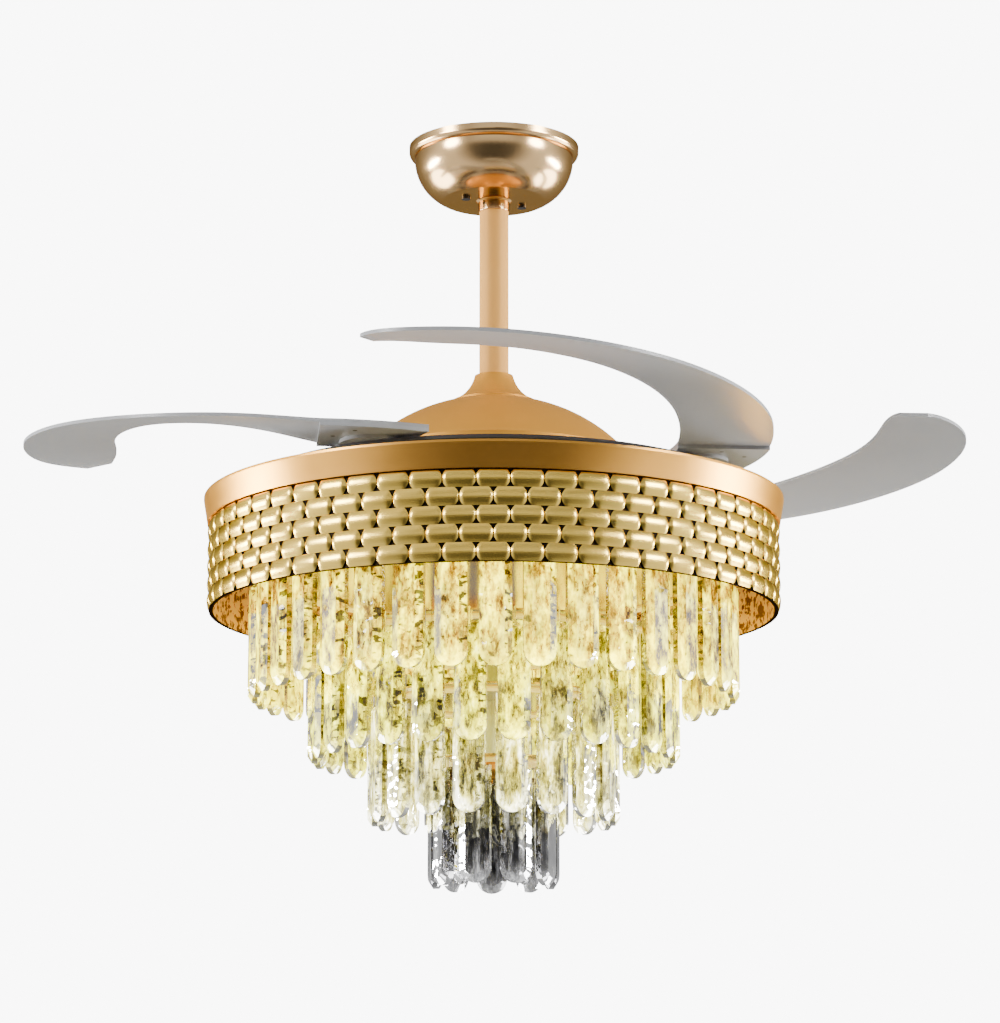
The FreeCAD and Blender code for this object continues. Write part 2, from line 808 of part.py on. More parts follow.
def tooth_corners(pitch, side):
    """A gear tooth that points along X from a pitch radius, out of the gear or back towards its centre."""
    half = "((pi * gear_module / 2 - gear_backlash) / 2)"
    tip = f"({ADDENDUM_SHARE} * gear_module)"
    root = f"({DEDENDUM_SHARE} * gear_module + overrun)"
    wide = f"({half} + {FLANK_SHARE} * {root})"
    slim = f"({half} - {FLANK_SHARE} * {tip})"
    inner, outer = f"{pitch} - {side} * {root}", f"{pitch} + {side} * {tip}"
    return ((inner, f"-{wide}"), (outer, f"-{slim}"), (outer, slim), (inner, wide))


def make_ring_gear():
    """The ring that runs round the motor can and keeps the four blades in step."""
    body = new_body("sync_gear")
    pitch = "(ring_teeth * gear_module / 2)"
    blank = sketch_on(body, "XY_Plane", lift=GEAR_FOOT)
    circle(blank, "0", "0", f"{pitch} - {DEDENDUM_SHARE} * gear_module")
    circle(blank, "0", "0", "housing_radius + running_clearance")
    pad(body, blank, "gear_height - stack_clearance")
    tooth = sketch_on(body, "XY_Plane", lift=GEAR_FOOT)
    step = "(360 / ring_teeth)"
    outline(tooth, turned(tooth_corners(pitch, 1), f"(-pivot_turn - {step} * ring_run_teeth / 2)"))
    one = pad(body, tooth, "gear_height - stack_clearance")
    repeat(body, "ring_run_teeth", [one], f"{step} * (ring_run_teeth - 1)")
    repeat(body, "blade_count")
    window = sketch_on(body, "XY_Plane", lift=GEAR_FOOT)
    sector(window, "gear_window_inner", "gear_window_outer", "-gear_window_sweep / 2", "gear_window_sweep / 2")
    repeat(body, "blade_count", [cut(body, window, "gear_height * 2 + overrun")])


def turned(corners, angle):
    """An outline's straight corners turned about the origin, as expressions."""
    return tuple(
        (f"({x}) * cos({angle}) - ({y}) * sin({angle})", f"({x}) * sin({angle}) + ({y}) * cos({angle})")
        for x, y in corners
    )


def shifted(corners, across, up):
    """An outline's straight corners moved, as expressions."""
    return tuple((f"{x} + {across}", f"{y} + {up}") for x, y in corners)


def sector(made, inner, outer, start, stop):
    """An annular sector about the origin, between two angles under a half turn apart."""
    outline(
        made,
        (
            (f"({inner}) * cos({start})", f"({inner}) * sin({start})"),
            (f"({outer}) * cos({start})", f"({outer}) * sin({start})", outer),
            (f"({outer}) * cos({stop})", f"({outer}) * sin({stop})"),
            (f"({inner}) * cos({stop})", f"({inner}) * sin({stop})", f"-({inner})"),
        ),
    )


def screw_places():
    """Where the blade's screws stand on its root, as shares of the root's sweep and width."""
    places = []
    for sweep_share, width_share in BLADE_SCREW_SHARES:
        angle = f"(-blade_root_sweep * {sweep_share})"
        radius = f"(blade_arc_radius + blade_width * {width_share})"
        places.append((f"{radius} * cos({angle})", f"{radius} * sin({angle})"))
    return places


def open_place(number):
    """Turn a folded blade out about its pivot, then round to its own quarter."""
    pivot = Vector(value("pivot_circle"), 0, 0)
    out = Placement(Vector(), Rotation(Vector(0, 0, 1), value("blade_fold")), pivot)
    quarter = value(f"-pivot_turn + 360 * {number - 1} / blade_count")
    return Placement(Vector(), Rotation(Vector(0, 0, 1), quarter)) * out


def make_blade(number):
    """One blade: a flat root, and a crescent that climbs and pitches towards its tip."""
    body = new_body(f"blade_{number}")
    inner, outer = "blade_arc_radius - blade_width / 2", "blade_arc_radius + blade_width / 2"
    root = sketch_on(body, "XY_Plane", lift=BLADE_FOOT)
    sector(root, inner, outer, "-blade_root_sweep", "blade_heel")
    pad(body, root, "blade_sheet")
    stations = []
    for sweep_share, width_share, rise_share, pitch_share in BLADE_STATION_SHARES:
        station = sketch_on(body, "XZ_Plane", turn=f"blade_sweep * {sweep_share}")
        near = f"blade_arc_radius - blade_width * {width_share} / 2"
        far = f"blade_arc_radius + blade_width * {width_share} / 2"
        low = f"{BLADE_FOOT} + blade_rise * {rise_share}"
        lean = f"blade_pitch * {pitch_share} / 2"
        outline(
            station,
            (
                (near, f"{low} + {lean}"),
                (far, f"{low} - {lean}"),
                (far, f"{low} - {lean} + blade_sheet"),
                (near, f"{low} + {lean} + blade_sheet"),
            ),
        )
        stations.append(station)
    crescent = body.newObject("PartDesign::AdditiveLoft", body.Name + "_loft")
    crescent.Profile = stations[0]
    crescent.Sections = stations[1:]
    holes = sketch_on(body, "XY_Plane", lift=BLADE_FOOT)
    circle(holes, "pivot_circle", "0", "pivot_radius + stack_clearance")
    for across, up in screw_places():
        circle(holes, across, up, "blade_screw_radius")
    cut(body, holes, "blade_sheet * 2 + overrun")
    body.Placement = open_place(number)


def make_blade_bracket(number):
    """The steel root plate under a blade, with the toothed sector that meets the ring gear."""
    body = new_body(f"blade_{number}_bracket")
    inner, outer = "blade_arc_radius - blade_width / 2", "blade_arc_radius + blade_width / 2"
    plate = sketch_on(body, "XY_Plane", lift=PLATE_FOOT)
    sector(plate, inner, outer, "-blade_root_sweep", "blade_heel")
    pad(body, plate, "bracket_plate")
    pitch = "(sector_teeth * gear_module / 2)"
    hub = sketch_on(body, "XY_Plane", lift=GEAR_FOOT)
    circle(hub, "pivot_circle", "0", f"{pitch} - {DEDENDUM_SHARE} * gear_module")
    pad(body, hub, "gear_height")
    step = "(360 / sector_teeth)"
    for index in range(int(value("sector_run_teeth"))):
        angle = f"(180 - blade_fold + {step} * ({index} - 2))"
        tooth = sketch_on(body, "XY_Plane", lift=GEAR_FOOT)
        outline(tooth, shifted(turned(tooth_corners(pitch, 1), angle), "pivot_circle", "0"))
        pad(body, tooth, "gear_height")
    holes = sketch_on(body, "XY_Plane", lift=PLATE_FOOT)
    circle(holes, "pivot_circle", "0", "pivot_radius + running_clearance")
    for across, up in screw_places():
        circle(holes, across, up, "blade_screw_radius")
    cut(body, holes, "(gear_height + bracket_plate) * 2 + overrun")
    body.Placement = open_place(number)
    screws = screw_group(
        f"blade_{number}_screws",
        screw_places(),
        BLADE_TOP,
        "blade_screw_head_radius",
        "blade_screw_head_height",
        "blade_screw_radius",
        "blade_sheet + bracket_plate",
        upward=False,
    )
    screws.Placement = open_place(number)


# Drum


def make_drum():
    """The pan on the shaft, the shell that hangs from it, and the trim and band round the shell."""
    pan_low = "-pan_drop - pan_sheet"
    pan_radius = "(drum_radius - drum_wall)"
    pan = lathe(
        "lamp_pan",
        (
            ("shaft_radius", "-pan_drop"),
            ("shaft_radius", pan_low),
            (f"{pan_radius} - pan_sheet", pan_low),
            (f"{pan_radius} - pan_sheet", "-pan_drop - pan_flange"),
            (pan_radius, "-pan_drop - pan_flange"),
            (pan_radius, "-pan_drop"),
        ),
    )
    shell = lathe("drum_shell", tube_profile(pan_radius, "drum_radius", "-drum_drop", "-pan_drop"))
    height = "(-pan_drop - pan_flange / 2)"
    for piece in (pan, shell):
        holes = sketch_on(piece, "YZ_Plane", lift="drum_radius")
        circle(holes, "0", height, "drum_screw_radius")
        hole = cut(piece, holes, "(drum_wall + pan_sheet) * 2 + overrun")
        repeat(piece, "drum_screw_count", [hole])
    screws = new_body("drum_screws")
    shank = sketch_on(screws, "YZ_Plane", lift="drum_radius - drum_screw_recess")
    circle(shank, "0", height, "drum_screw_radius")
    pad(screws, shank, "drum_wall + pan_sheet + drum_screw_length - drum_screw_recess", down=True)
    repeat(screws, "drum_screw_count")
    trim_foot = "(-trim_drop - trim_height)"
    lathe(
        "rim_trim",
        (
            ("drum_radius", "-pan_drop"),
            ("drum_radius", trim_foot),
            ("drum_radius + trim_foot_depth", trim_foot),
            ("drum_radius + trim_top_depth", "-trim_drop - trim_lip"),
            ("drum_radius + trim_top_depth", "-trim_drop"),
            ("drum_radius + trim_top_depth - trim_wall", "-trim_drop"),
        ),
    )
    make_band(trim_foot)
    nut = new_body("shaft_nut")
    flats = sketch_on(nut, "XY_Plane", lift=pan_low)
    outline(flats, ring_places("6", "shaft_nut_radius"))
    circle(flats, "0", "0", "shaft_radius")
    pad(nut, flats, "shaft_nut_height", down=True)


def make_band(top):
    """The patterned band, whose rows of bricks stand out as crowned courses."""
    rows = int(value("band_rows"))
    course = f"(({top} + drum_drop) / band_rows)"
    crest = "drum_radius + band_crown"
    groove = "drum_radius + band_groove_depth"
    shoulder_share = 0.28
    corners = [("drum_radius", "-drum_drop")]
    for row in range(rows):
        corners.append((groove, f"-drum_drop + {course} * {row}"))
        corners.append((crest, f"-drum_drop + {course} * ({row} + {shoulder_share})"))
        corners.append((crest, f"-drum_drop + {course} * ({row + 1} - {shoulder_share})"))
    corners.append((groove, top))
    corners.append(("drum_radius", top))
    lathe("pattern_band", corners)


# Tiers of crystals

TIERS = range(1, int(value("tier_total")) + 1)


def tier_radius(tier):
    """The radius of a tier's ring of crystals, as an expression."""
    return f"(tier_radius - tier_inset * {tier - 1})"


def tier_top(tier):
    """The height of a tier plate's upper face, as an expression."""
    return f"(-plate_drop - tier_step * {tier - 1})"


def tier_count(tier):
    """How many crystals a tier has, as an expression."""
    return f"(tier_count_step * (tier_total + 1 - {tier}))"


def make_tier_plate(tier):
    """A tier's plate with a slot for each crystal's link."""
    reach = f"{tier_radius(tier)} + plate_reach"
    top = tier_top(tier)
    body = lathe(f"tier_{tier}_plate", tube_profile("tube_radius", reach, f"{top} - plate_sheet", top))
    slot = sketch_on(body, "XY_Plane", lift=top)
    middle = f"({tier_radius(tier)} - crystal_depth / 2 - link_play - link_wire / 2)"
    half = "(link_wire / 2 + link_play)"
    box_outline(slot, f"{middle} - {half}", f"{middle} + {half}", f"-{half}", half)
    repeat(body, tier_count(tier), [cut(body, slot, "plate_sheet * 2 + overrun")])
    turn_tier(body, tier)


def turn_tier(body, tier):
    """Turn a tier's plate, crystals or links to where that tier's ring starts."""
    body.Placement = Placement(Vector(), Rotation(Vector(0, 0, 1), value(f"tier_{tier}_turn")))


def make_crystals(tier):
    """A tier's ring of bevelled crystal bars with round feet, and the links that they hang from."""
    radius = tier_radius(tier)
    top = f"({tier_top(tier)} - crystal_gap)"
    foot = f"({top} - crystal_length)"
    body = new_body(f"tier_{tier}_crystals")
    section = sketch_on(body, "XY_Plane", lift=top)
    deep, wide = "crystal_depth / 2", "crystal_width / 2"
    slim = "(crystal_depth / 2 - crystal_bevel_depth)"
    face = "(crystal_width / 2 - crystal_bevel_width)"
    corners = ((f"-{deep}", f"-{face}"), (f"-{slim}", f"-{wide}"), (slim, f"-{wide}"), (deep, f"-{face}"))
    mirrored = ((deep, face), (slim, wide), (f"-{slim}", wide), (f"-{deep}", face))
    outline(section, shifted(corners + mirrored, radius, "0"))
    pad(body, section, "crystal_length", down=True)
    tongue = sketch_on(body, "YZ_Plane", lift=radius)
    past = f"{wide} + overrun"
    outline(
        tongue,
        (
            (f"-({past})", f"{foot} + {wide}"),
            (f"-({past})", f"{foot} - overrun"),
            (past, f"{foot} - overrun"),
            (past, f"{foot} + {wide}"),
            (wide, f"{foot} + {wide}", f"-({wide})"),
            ("0", foot, f"-({wide})"),
            (f"-{wide}", f"{foot} + {wide}"),
        ),
    )
    cut(body, tongue, "crystal_depth + overrun")
    eye = sketch_on(body, "YZ_Plane", lift=radius)
    eye_top = f"({top} - crystal_hole_inset)"
    box_outline(eye, "-crystal_hole / 2", "crystal_hole / 2", f"{eye_top} - crystal_hole", eye_top)
    cut(body, eye, "crystal_depth + overrun")
    repeat(body, tier_count(tier))
    turn_tier(body, tier)
    make_links(tier, radius, eye_top)


def make_links(tier, radius, eye_top):
    """A square wire link round each crystal's eye, lying over the plate's edge."""
    body = new_body(f"tier_{tier}_links")
    loop = sketch_on(body, "XZ_Plane")
    bar_low = f"{eye_top} - link_wire"
    bar_high = tier_top(tier)
    half = "(crystal_depth / 2 + link_play)"
    box_outline(loop, f"{radius} - {half}", f"{radius} + {half}", eye_top, bar_high)
    outside = f"({half} + link_wire)"
    box_outline(loop, f"{radius} - {outside}", f"{radius} + {outside}", bar_low, f"{bar_high} + link_wire")
    pad(body, loop, "link_wire", both=True)
    repeat(body, tier_count(tier))
    turn_tier(body, tier)


def make_tiers():
    """The hanging tube with its spacers, plates, lamp boards, driver and finial, and the crystals."""
    for tier in TIERS:
        make_tier_plate(tier)
        make_crystals(tier)
    lathe("center_tube", tube_profile("tube_bore", "tube_radius", "-tube_end_drop", "-shaft_end_drop"))
    spans = [tube_profile("tube_radius", "spacer_radius", tier_top(1), "-shaft_end_drop")]
    for tier in TIERS[:-1]:
        spans.append(
            tube_profile("tube_radius", "spacer_radius", tier_top(tier + 1), f"{tier_top(tier)} - plate_sheet")
        )
    lathe("spacer_tubes", *spans)
    boards = []
    for tier in TIERS:
        outer = f"{tier_radius(tier)} - led_board_inset"
        high = f"({tier_top(tier)} - plate_sheet)"
        boards.append(tube_profile(f"{outer} - led_board_depth", outer, f"{high} - led_board_sheet", high))
    lathe("led_boards", *boards)
    seat = f"({tier_top(TIERS[-1])} - plate_sheet)"
    lathe(
        "finial_nut",
        (
            ("tube_radius", seat),
            ("tube_radius", "-tube_end_drop"),
            ("0", "-tube_end_drop"),
            ("0", f"{seat} - finial_height", "finial_radius"),
            ("finial_radius", f"{seat} - finial_height / 2"),
            ("finial_radius", seat),
        ),
    )
    driver = new_body("led_driver")
    case = sketch_on(driver, "XY_Plane", lift="-pan_drop - pan_sheet")
    half = "driver_width / 2"
    box_outline(case, "driver_place", "driver_place + driver_length", f"-{half}", half)
    pad(driver, case, "driver_height", down=True)


def check_and_write():
    """Stop on any failed object, then write each body to its own file."""
    doc.recompute()
    bodies = [item for item in doc.Objects if item.TypeId == "PartDesign::Body"]
    for item in doc.Objects:
        if "Invalid" in item.State or "Error" in item.State:
            raise RuntimeError("failed: " + item.Name)
    for body in bodies:
        if body.Shape.isNull() or not body.Shape.isValid() or not body.Shape.Solids:
            raise RuntimeError("bad shape: " + body.Label)
    os.makedirs("parts", exist_ok=True)
    for body in bodies:
        body.Shape.exportStep(f"parts/{body.Label}.step")
    print(len(bodies), "sub-parts,", sum(len(body.Shape.Solids) for body in bodies), "solids")


make_ceiling_end()
make_rod()
make_coupling()
make_covers()
make_stator()
make_rotor()
make_carrier()
make_ring_gear()
for blade in range(1, int(value("blade_count")) + 1):
    make_blade(blade)
    make_blade_bracket(blade)
make_drum()
make_tiers()
check_and_write()
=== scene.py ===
"""Looks of the chandelier ceiling fan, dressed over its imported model.

All lengths are in metres, in the model's own frame: the origin on the ceiling, +Z up, the viewer towards -Y.
"""

import json
import math

import bpy
from mathutils import Matrix, Vector


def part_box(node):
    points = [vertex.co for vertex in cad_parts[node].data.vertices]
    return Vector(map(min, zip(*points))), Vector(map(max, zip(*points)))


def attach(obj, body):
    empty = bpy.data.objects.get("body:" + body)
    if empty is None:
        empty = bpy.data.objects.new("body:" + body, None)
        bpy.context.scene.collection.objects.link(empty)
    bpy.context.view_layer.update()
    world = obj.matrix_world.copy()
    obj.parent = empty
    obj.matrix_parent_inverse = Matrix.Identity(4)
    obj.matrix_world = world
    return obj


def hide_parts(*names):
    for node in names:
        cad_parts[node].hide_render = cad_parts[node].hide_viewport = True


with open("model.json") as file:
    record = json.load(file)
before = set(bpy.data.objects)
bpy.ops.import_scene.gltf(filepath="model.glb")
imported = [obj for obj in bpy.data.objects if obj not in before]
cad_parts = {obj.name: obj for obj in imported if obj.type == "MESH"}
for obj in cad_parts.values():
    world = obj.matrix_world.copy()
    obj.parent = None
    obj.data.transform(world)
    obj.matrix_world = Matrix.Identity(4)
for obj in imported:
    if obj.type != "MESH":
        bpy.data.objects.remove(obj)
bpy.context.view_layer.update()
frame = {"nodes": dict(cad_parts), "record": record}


# Crystals: the sizes of one bar, and each tier's ring as in the solids, from the top tier down

TIERS = (1, 2, 3, 4)
TIER_RADII = (0.207, 0.1547, 0.1024, 0.0501)
TIER_COUNTS = (36, 27, 18, 9)
TIER_TURNS = (0.5, -3.7, -1.5, 12.0)
CRYSTAL_TOPS = tuple(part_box(f"tier_{tier}_crystals")[1][2] for tier in TIERS)
CRYSTAL_LENGTH = CRYSTAL_TOPS[0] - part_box("tier_1_crystals")[0][2]
CRYSTAL_WIDTH = 0.027
CRYSTAL_DEPTH = 0.013
CRYSTAL_BEVEL = 0.0062
CRYSTAL_RIM = 0.0050
FOOT_STEPS = 14

# Patterned band: courses of bricks that stand on a backing round the drum

DRUM_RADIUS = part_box("drum_shell")[1][0]
BAND_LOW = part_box("pattern_band")[0][2]
BAND_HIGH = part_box("pattern_band")[1][2]
BAND_BASE = DRUM_RADIUS + 0.0001
BAND_CREST = DRUM_RADIUS + 0.0037
BAND_SEAM = DRUM_RADIUS + 0.0019
BAND_LIP = DRUM_RADIUS - 0.0019
BAND_FOOT = BAND_LOW - 0.0003
BAND_ROWS = 5
BAND_BRICKS = 56
BACKING_STEPS = 2 * BAND_BRICKS
BRICK_COLUMNS = 14
BRICK_LINES = 8
BRICK_END_SHARE = 0.25
BRICK_EDGE_SHARE = 0.40
BRICK_CROWN_POWER = 6

# Painted shade of the band: how high it reaches up a brick from the backing, how far below the band's foot it
# starts, and how far under the band's top it begins and is full

GAP_SHADE = 0.0009
FOOT_SHADE = 0.0002
TOP_SHADE = 0.0017
TOP_FULL_SHADE = 0.0007

# Depths of relief in the finishes, and waves of the motor's sheets and wires in radians to the metre

FINE_RELIEF = 0.0002
BRUSHED_RELIEF = 0.0003
WIRE_RELIEF = 0.0004
GLASS_RELIEF = 0.002
SHEET_WAVES = 12000.0
WIRE_WAVES = 7000.0

# Plain tones

BLACK = (0.0, 0.0, 0.0)
WHITE = (1.0, 1.0, 1.0)


# Shader writing


def opaque(colour):
    """A colour as a socket takes it. A link stays a link."""
    return (*colour, 1.0) if isinstance(colour, tuple) else colour


class Sock:
    """A socket that can stand in shader sums."""

    def __init__(self, finish, socket):
        self.finish = finish
        self.socket = socket

    def math(self, operation, other, flipped=False):
        first, second = (other, self) if flipped else (self, other)
        return self.finish.node("ShaderNodeMath", {"operation": operation}, {0: first, 1: second})

    def __add__(self, other):
        return self.math("ADD", other)

    __radd__ = __add__

    def __sub__(self, other):
        return self.math("SUBTRACT", other)

    def __rsub__(self, other):
        return self.math("SUBTRACT", other, True)

    def __mul__(self, other):
        return self.math("MULTIPLY", other)

    __rmul__ = __mul__

    def __truediv__(self, other):
        return self.math("DIVIDE", other)

    def __pow__(self, other):
        return self.math("POWER", other)


class Finish:
    """One material, or the world round the fan, and the nodes that make it."""

    def __init__(self, name, owners=None):
        owners = bpy.data.materials if owners is None else owners
        self.owner = owners.new(name)
        self.owner.use_nodes = True
        self.tree = self.owner.node_tree
        self.tree.nodes.clear()

    def node(self, kind, settings=None, sockets=None, out=0):
        """Add a node, set it up, then fill or link its sockets, and give back one of its outputs."""
        made = self.tree.nodes.new(kind)
        for key, setting in (settings or {}).items():
            if key == "stops":
                self.set_stops(made.color_ramp, setting)
            else:
                setattr(made, key, setting)
        for key, given in (sockets or {}).items():
            if isinstance(given, Sock):
                self.tree.links.new(given.socket, made.inputs[key])
            else:
                made.inputs[key].default_value = given
        return Sock(self, made.outputs[out]) if made.outputs else made

    def set_stops(self, ramp, stops):
        while len(ramp.elements) < len(stops):
            ramp.elements.new(1.0)
        for element, (place, colour) in zip(ramp.elements, stops):
            element.position = place
            element.color = opaque(colour)

    def place(self):
        """Where a point of the surface is on the object."""
        return self.node("ShaderNodeTexCoord", out="Object")

    def axes(self, vector=None):
        vector = vector or self.place()
        return [self.node("ShaderNodeSeparateXYZ", None, {0: vector}, axis) for axis in "XYZ"]

    def noise(self, grain, detail=3.0, vector=None, rough=0.55):
        """Soft noise with about so many grains to the metre."""
        sockets = {"Vector": vector or self.place(), "Scale": grain, "Detail": detail, "Roughness": rough}
        return self.node("ShaderNodeTexNoise", None, sockets, "Fac")

    def streaks(self, grains, detail, rough=0.55):
        """Noise whose grains to the metre differ along X, Y and Z."""
        stretched = self.node("ShaderNodeMapping", None, {"Vector": self.place(), "Scale": grains})
        return self.noise(1.0, detail, stretched, rough)

    def spun(self, grain):
        """Fine rings about the vertical axis, as a lathe leaves."""
        across, along, up = self.axes()
        line = self.node("ShaderNodeCombineXYZ", None, {0: from_axis(across, along), 2: up})
        return self.noise(grain, 2.0, line)

    def ripples(self, value, waves):
        """A wave from -1 to 1 along a value, by so many radians to the metre."""
        return self.node("ShaderNodeMath", {"operation": "SINE"}, {0: value * waves})

    def ramp(self, value, *stops):
        return self.node("ShaderNodeValToRGB", {"stops": stops}, {"Fac": value}, "Color")

    def rise(self, value, low, high):
        """0 below low, 1 above high, and smooth between."""
        settings = {"interpolation_type": "SMOOTHSTEP"}
        sockets = {"Value": value, "From Min": low, "From Max": high}
        return self.node("ShaderNodeMapRange", settings, sockets, "Result")

    def blend(self, share, first, second):
        """A colour between two others."""
        sockets = {0: share, 6: opaque(first), 7: opaque(second)}
        return self.node("ShaderNodeMix", {"data_type": "RGBA"}, sockets, 2)

    def bump(self, height, strength, distance):
        sockets = {"Strength": strength, "Distance": distance, "Height": height}
        return self.node("ShaderNodeBump", None, sockets)

    def surface(self, **sockets):
        """The main shader. A socket's name has its spaces written as underscores."""
        filled = {key.replace("_", " "): opaque(given) for key, given in sockets.items()}
        return self.node("ShaderNodeBsdfPrincipled", None, filled)

    def done(self, shader, kind="ShaderNodeOutputMaterial"):
        self.node(kind, None, {"Surface": shader})
        return self.owner


def from_axis(across, along):
    """How far a point is from the vertical axis."""
    return (across * across + along * along) ** 0.5


# Metal and paint


def polished_gold():
    make = Finish("polished_gold")
    shiny = make.surface(
        Base_Color=make.blend(make.noise(9.0), (0.86, 0.58, 0.29), (0.78, 0.48, 0.20)),
        Metallic=1.0,
        Roughness=0.13 + 0.06 * make.noise(240.0) + 0.03 * make.spun(900.0),
        Specular_Tint=(0.60, 0.45, 0.28),
    )
    return make.done(shiny)


def satin_gold():
    make = Finish("satin_gold")
    rings = make.spun(1400.0)
    satin = make.surface(
        Base_Color=make.blend(make.noise(14.0), (0.84, 0.42, 0.085), (0.76, 0.36, 0.055)),
        Metallic=1.0,
        Roughness=0.24 + 0.10 * rings + 0.05 * make.noise(60.0),
        Specular_Tint=(1.0, 0.72, 0.38),
        Normal=make.bump(rings, 0.12, FINE_RELIEF),
    )
    return make.done(satin)


def patterned_gold():
    """Brushed gold on the bricks, with painted shade in the gaps between them and along the band's two edges.
    """
    make = Finish("patterned_gold")
    across, along, up = make.axes()
    # Masks of the painted shade: near the backing between the bricks, below the band's foot and under its top
    above_gap = make.rise(from_axis(across, along), BAND_BASE, BAND_BASE + GAP_SHADE)
    above_foot = make.rise(up, BAND_LOW - FOOT_SHADE, BAND_LOW)
    below_top = 1.0 - make.rise(up, BAND_HIGH - TOP_SHADE, BAND_HIGH - TOP_FULL_SHADE)
    unshaded = above_gap * above_foot * below_top
    gold = make.blend(make.noise(30.0), (1.0, 0.72, 0.16), (0.96, 0.62, 0.10))
    brushed = make.streaks((60.0, 60.0, 1500.0), 2.0)
    bricks = make.surface(
        # Near-black painted shade in the gaps and along the band's edges, gold elsewhere
        Base_Color=make.blend(unshaded, (0.020, 0.012, 0.006), gold),
        Metallic=1.0,
        Roughness=0.45 - 0.25 * unshaded + 0.10 * brushed,
        Specular_Tint=(0.34, 0.24, 0.10),
        Normal=make.bump(brushed, 0.25, BRUSHED_RELIEF),
    )
    return make.done(bricks)


def lined_gold():
    """The drum's inner wall with a painted glow of the lamp's light, flecked dark with painted reflections of
    the crystals.
    """
    make = Finish("lined_gold")
    gold = make.blend(make.noise(12.0), (1.0, 0.60, 0.10), (0.90, 0.46, 0.05))
    # Dark flecks: painted reflections of the crystals
    crystal_reflection = make.rise(make.noise(95.0, 3.0, rough=0.75), 0.48, 0.56)
    colour = make.blend(crystal_reflection, gold, (0.13, 0.04, 0.0))
    lit = make.surface(
        Base_Color=colour,
        Metallic=0.7,
        Roughness=0.30 + 0.12 * make.spun(500.0),
        # Painted glow, as if the lamp boards lit the wall
        Emission_Color=colour,
        Emission_Strength=0.24,
    )
    return make.done(lit)


def warm_paint(name, light, dark, metal):
    """Gold paint with a soft sheen."""
    make = Finish(name)
    fine = make.noise(900.0, 2.0)
    paint = make.surface(
        Base_Color=make.blend(make.noise(20.0), light, dark),
        Metallic=metal,
        Roughness=0.48 + 0.08 * fine,
        Specular_IOR_Level=0.12,
        Normal=make.bump(fine, 0.08, FINE_RELIEF),
    )
    return make.done(paint)


def plain_metal(name, light, dark, rough):
    """A metal with a faint grain and slow changes of tone."""
    make = Finish(name)
    fine = make.noise(400.0, 2.0)
    metal = make.surface(
        Base_Color=make.blend(make.noise(18.0), light, dark),
        Metallic=1.0,
        Roughness=rough + 0.1 * fine,
        Normal=make.bump(fine, 0.08, FINE_RELIEF),
    )
    return make.done(metal)


def plain_coat(name, light, dark, rough):
    """Paint or moulded plastic with a fine texture."""
    make = Finish(name)
    fine = make.noise(700.0, 2.0)
    coat = make.surface(
        Base_Color=make.blend(make.noise(25.0), light, dark),
        Roughness=rough + 0.1 * fine,
        Normal=make.bump(fine, 0.12, FINE_RELIEF),
    )
    return make.done(coat)


def laminated_steel():
    make = Finish("lamination")
    sheets = make.ripples(make.axes()[2], SHEET_WAVES)
    steel = make.surface(
        Base_Color=make.blend(0.5 + 0.5 * sheets, (0.30, 0.30, 0.31), (0.46, 0.46, 0.47)),
        Metallic=1.0,
        Roughness=0.4 + 0.1 * sheets,
    )
    return make.done(steel)


def wound_copper():
    make = Finish("copper")
    across, along, _ = make.axes()
    turns = make.ripples(from_axis(across, along), WIRE_WAVES)
    copper = make.surface(
        Base_Color=make.blend(0.5 + 0.5 * turns, (0.45, 0.16, 0.06), (0.80, 0.38, 0.17)),
        Metallic=1.0,
        Roughness=0.3 + 0.05 * turns,
        Normal=make.bump(turns, 0.5, WIRE_RELIEF),
    )
    return make.done(copper)


# Blades, lamp and floor


def smoked_acrylic(name, cover):
    """Smoky clear plastic, denser where it is seen edge on."""
    make = Finish(name)
    edge = make.node("ShaderNodeLayerWeight", None, {"Blend": 0.35}, "Facing")
    haze = make.noise(6.0)
    smoke = make.surface(
        Base_Color=make.blend(haze, (0.345, 0.35, 0.36), (0.41, 0.415, 0.425)),
        Roughness=0.26 + 0.06 * make.noise(180.0),
        Alpha=cover + 0.06 * haze + 0.22 * edge,
        IOR=1.49,
        Specular_IOR_Level=0.35,
        Coat_Weight=0.1,
    )
    return make.done(smoke)


def lamp_boards():
    make = Finish("lamp_boards")
    spots = make.rise(make.noise(160.0, 0.0), 0.42, 0.6)
    lit = make.surface(
        Base_Color=(0.9, 0.78, 0.45),
        Emission_Color=make.blend(spots, (1.0, 0.68, 0.02), (1.0, 0.60, 0.01)),
        Emission_Strength=1.0,
    )
    return make.done(lit)


def pale_floor():
    """A matt floor, faintly clouded, with a glow of its own so that it stays as pale as the backdrop."""
    make = Finish("floor")
    colour = make.blend(make.noise(1.2), (0.90, 0.90, 0.89), (0.86, 0.86, 0.85))
    pale = make.surface(Base_Color=colour, Roughness=0.7, Emission_Color=colour, Emission_Strength=9.5)
    return make.done(pale)
